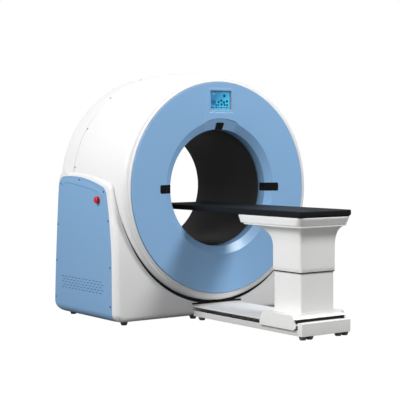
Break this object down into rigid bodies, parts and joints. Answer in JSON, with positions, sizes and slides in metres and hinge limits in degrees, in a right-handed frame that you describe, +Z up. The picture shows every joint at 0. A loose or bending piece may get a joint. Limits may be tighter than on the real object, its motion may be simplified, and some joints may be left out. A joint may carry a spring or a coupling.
{
  "type": "ct scanner",
  "caption": "Ring-shaped CT scanner gantry on a cradle base, with a short patient table on a telescoping column that travels towards the bore.",
  "frame": {"origin": "on the floor, under the middle of the machine's footprint", "axes": "+Z up; +Y from the patient table towards and into the gantry's bore, along the rotor's axis; +X across, to the right of someone who looks into the bore"},
  "size_m": [1.64, 1.93, 1.6538],
  "materials": {
    "white_cover": "satin moulded cover",
    "white_paint": "satin powder coat",
    "blue_cover": "satin moulded cover",
    "bore_black": "matt liner",
    "window_black": "smoked window",
    "screen": "lit display glass",
    "tabletop_black": "carbon composite with a matt pad",
    "rubber": "matt",
    "red_plastic": "gloss",
    "grey_plastic": "matt",
    "nylon": "matt",
    "grey_paint": "powder coat",
    "steel": "machined",
    "aluminium": "anodised",
    "iron": "cast and painted",
    "copper": "wound copper",
    "magnet": "nickel plated"
  },
  "bodies": {
    "gantry": {"drum_shell": "white_cover", "rear_cover": "white_cover", "lip_ring": "white_cover", "front_face": "blue_cover", "bore_liner": "bore_black", "window_left": "window_black", "window_right": "window_black", "window_top": "window_black", "laser_units": "grey_paint", "display_bezel": "blue_cover", "display_glass": "screen", "display_housing": "grey_paint", "base_shell": "white_cover", "side_panel_left": "blue_cover", "side_panel_right": "blue_cover", "cover_screws": "steel", "gantry_feet": "rubber", "base_frame": "grey_paint", "power_cabinets": "aluminium", "stop_housing_left": "grey_plastic", "stop_housing_right": "grey_plastic", "stator_frame": "grey_paint", "bearing_outer_race": "steel", "motor_coil_ring": "copper", "brush_block": "nylon", "table_base_pan": "white_paint", "table_base_lid": "white_paint", "table_end_block": "white_paint", "travel_rails": "steel", "travel_motor": "grey_paint", "table_feet": "rubber", "dock_seal": "rubber"},
    "rotor": {"rotor_plate": "aluminium", "bearing_inner_race": "steel", "motor_magnet_ring": "magnet", "slip_ring": "copper", "xray_tube": "aluminium", "collimator": "iron", "detector_carrier": "aluminium", "detector_modules": "grey_plastic", "high_voltage_generator": "aluminium", "heat_exchanger": "aluminium", "data_processor": "aluminium", "counterweight": "iron"},
    "travel_screw": {"travel_screw": "steel"},
    "carriage": {"bearing_blocks": "steel", "saddle": "steel", "travel_nut": "steel", "carriage_cover": "white_paint", "lower_column": "white_paint", "guide_pads": "nylon", "lift_actuator": "aluminium"},
    "lift": {"lift_piston": "aluminium", "upper_column": "white_paint", "tray": "white_cover", "tray_gasket": "rubber", "tabletop_beams": "aluminium", "tabletop": "tabletop_black"},
    "stop_button_left": {"stop_button_left": "red_plastic"},
    "stop_button_right": {"stop_button_right": "red_plastic"}
  },
  "joints": [
    {"name": "rotor_spin", "type": "hinge", "parent": "gantry", "child": "rotor", "pos_m": [0, 0.631, 0.872], "axis": [0, 1, 0], "continuous": true},
    {"name": "carriage_travel", "type": "slide", "parent": "gantry", "child": "carriage", "axis": [0, 1, 0], "range_m": [0, 0.6]},
    {"name": "travel_screw_spin", "type": "hinge", "parent": "gantry", "child": "travel_screw", "pos_m": [0.09, -0.409, 0.052], "axis": [0, 1, 0], "range_deg": [-10, 10810]},
    {"name": "column_lift", "type": "slide", "parent": "carriage", "child": "lift", "axis": [0, 0, 1], "range_m": [-0.08, 0.1]},
    {"name": "stop_left_press", "type": "slide", "parent": "gantry", "child": "stop_button_left", "axis": [1, 0, 0], "range_m": [0, 0.005], "stiffness_N_per_m": 800, "springref_m": -0.003},
    {"name": "stop_right_press", "type": "slide", "parent": "gantry", "child": "stop_button_right", "axis": [-1, 0, 0], "range_m": [0, 0.005], "stiffness_N_per_m": 800, "springref_m": -0.003}
  ],
  "couplings": [
    {"joint": "travel_screw_spin", "follows": "carriage_travel", "rad_per_m": 314.16}
  ]
}
